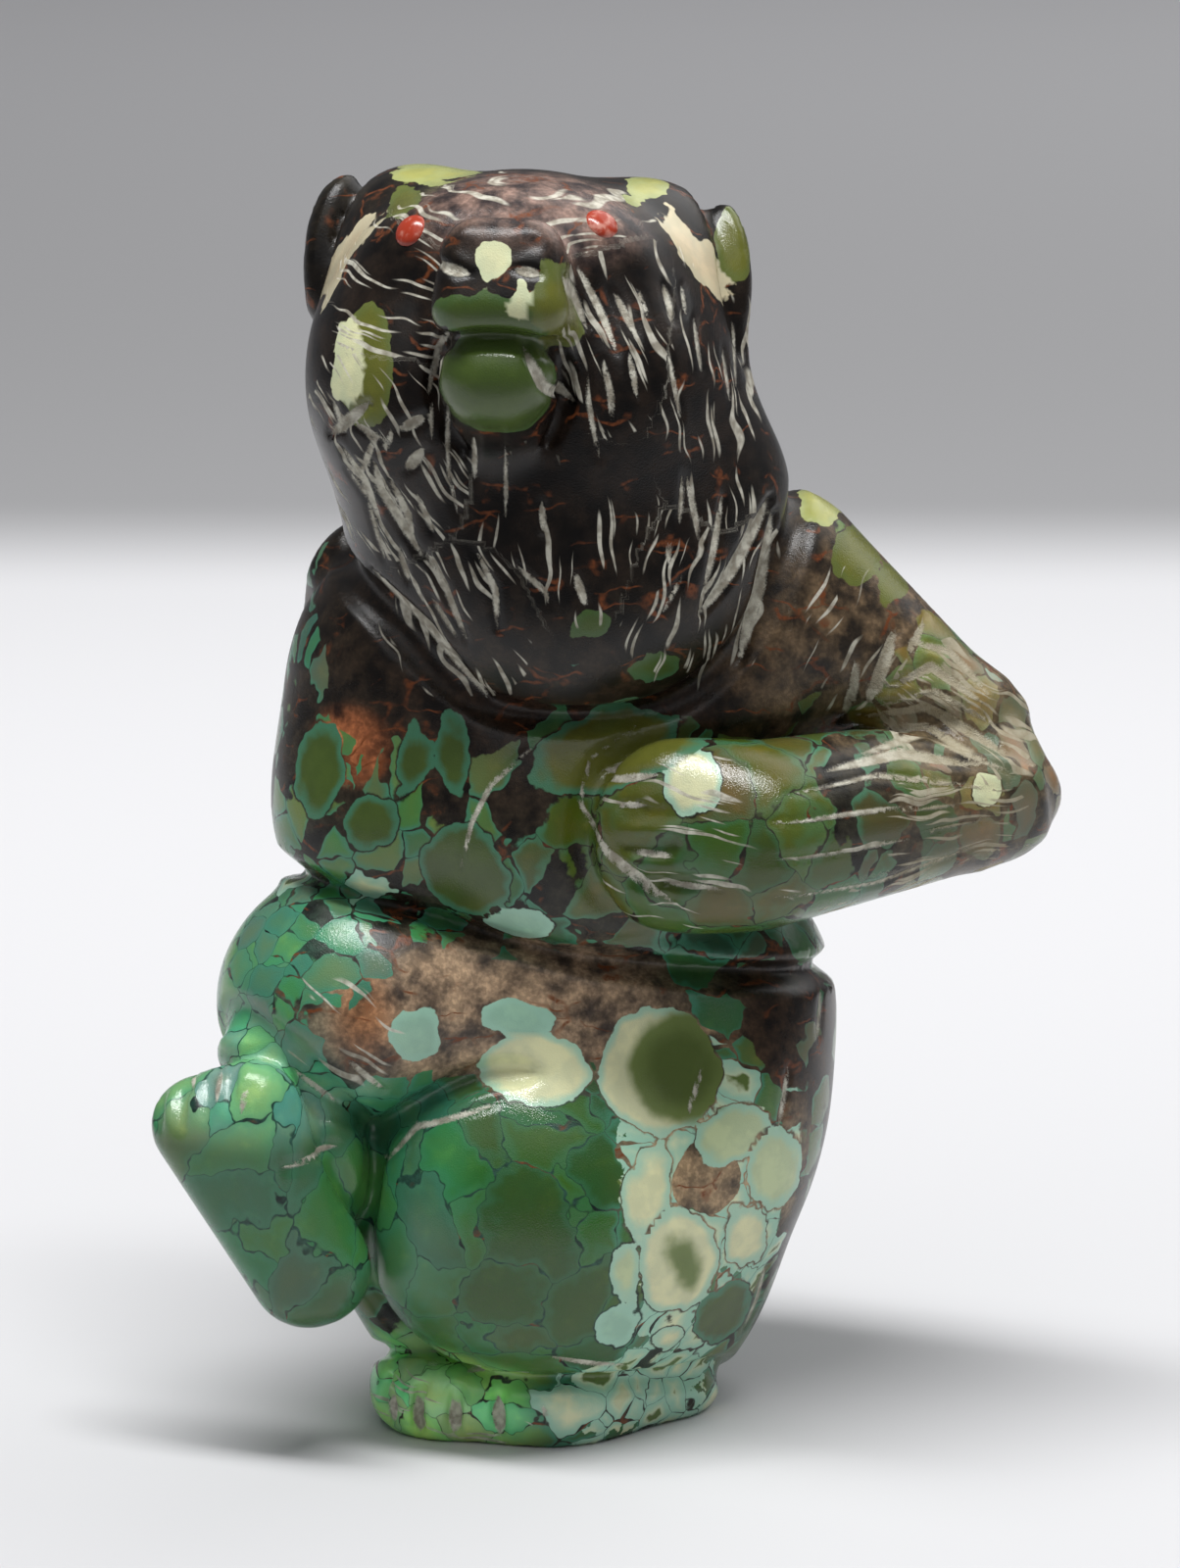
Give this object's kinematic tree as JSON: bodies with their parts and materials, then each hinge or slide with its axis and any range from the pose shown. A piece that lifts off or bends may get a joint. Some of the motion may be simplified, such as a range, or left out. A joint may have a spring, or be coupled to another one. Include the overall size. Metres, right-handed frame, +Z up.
{
  "type": "zuni bear fetish",
  "caption": "Small carved stone bear dancing on one foot, one arm bent across its chest and its head thrown back, with inlaid coral eyes.",
  "frame": {"origin": "centre of the bounding box's bottom face, on the surface the bear stands on", "axes": "+Z up, the bear faces -Y, +X to the bear's left"},
  "size_m": [0.0466, 0.028, 0.065],
  "materials": {
    "stone": "polished green turquoise nodules in dark brown host rock",
    "coral": "polished red coral"
  },
  "bodies": {
    "root": {"bear": "stone", "right_eye": "coral", "left_eye": "coral"}
  },
  "joints": []
}
